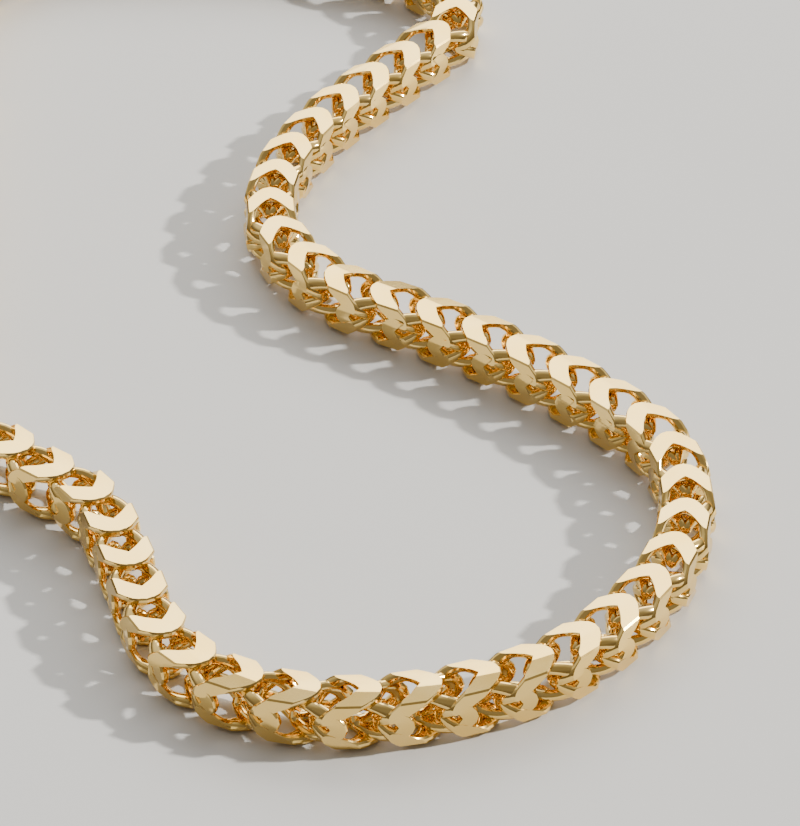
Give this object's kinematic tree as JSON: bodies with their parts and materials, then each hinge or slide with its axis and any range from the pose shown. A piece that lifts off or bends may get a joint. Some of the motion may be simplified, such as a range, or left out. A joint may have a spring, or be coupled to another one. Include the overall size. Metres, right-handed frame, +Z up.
{
  "type": "franco chain necklace",
  "caption": "Gold franco chain necklace, closed into a loop and laid in a loose S: interlocked V-shaped rings on four sides, with a plain closed clasp.",
  "frame": {"origin": "middle of the whole loop's box, at the height of the surface that it lies on", "axes": "+Z up from the surface, +Y along the longest extent, away from the viewer of the picture, +X to the viewer's right"},
  "size_m": [0.1154, 0.2028, 0.008],
  "materials": {
    "polished_gold": "polished yellow gold with flat diamond-cut facets",
    "clasp_gold": "polished yellow gold"
  },
  "bodies": {
    "root": {"chain_upper": "polished_gold", "chain_lower": "polished_gold", "clasp": "clasp_gold"}
  },
  "joints": []
}
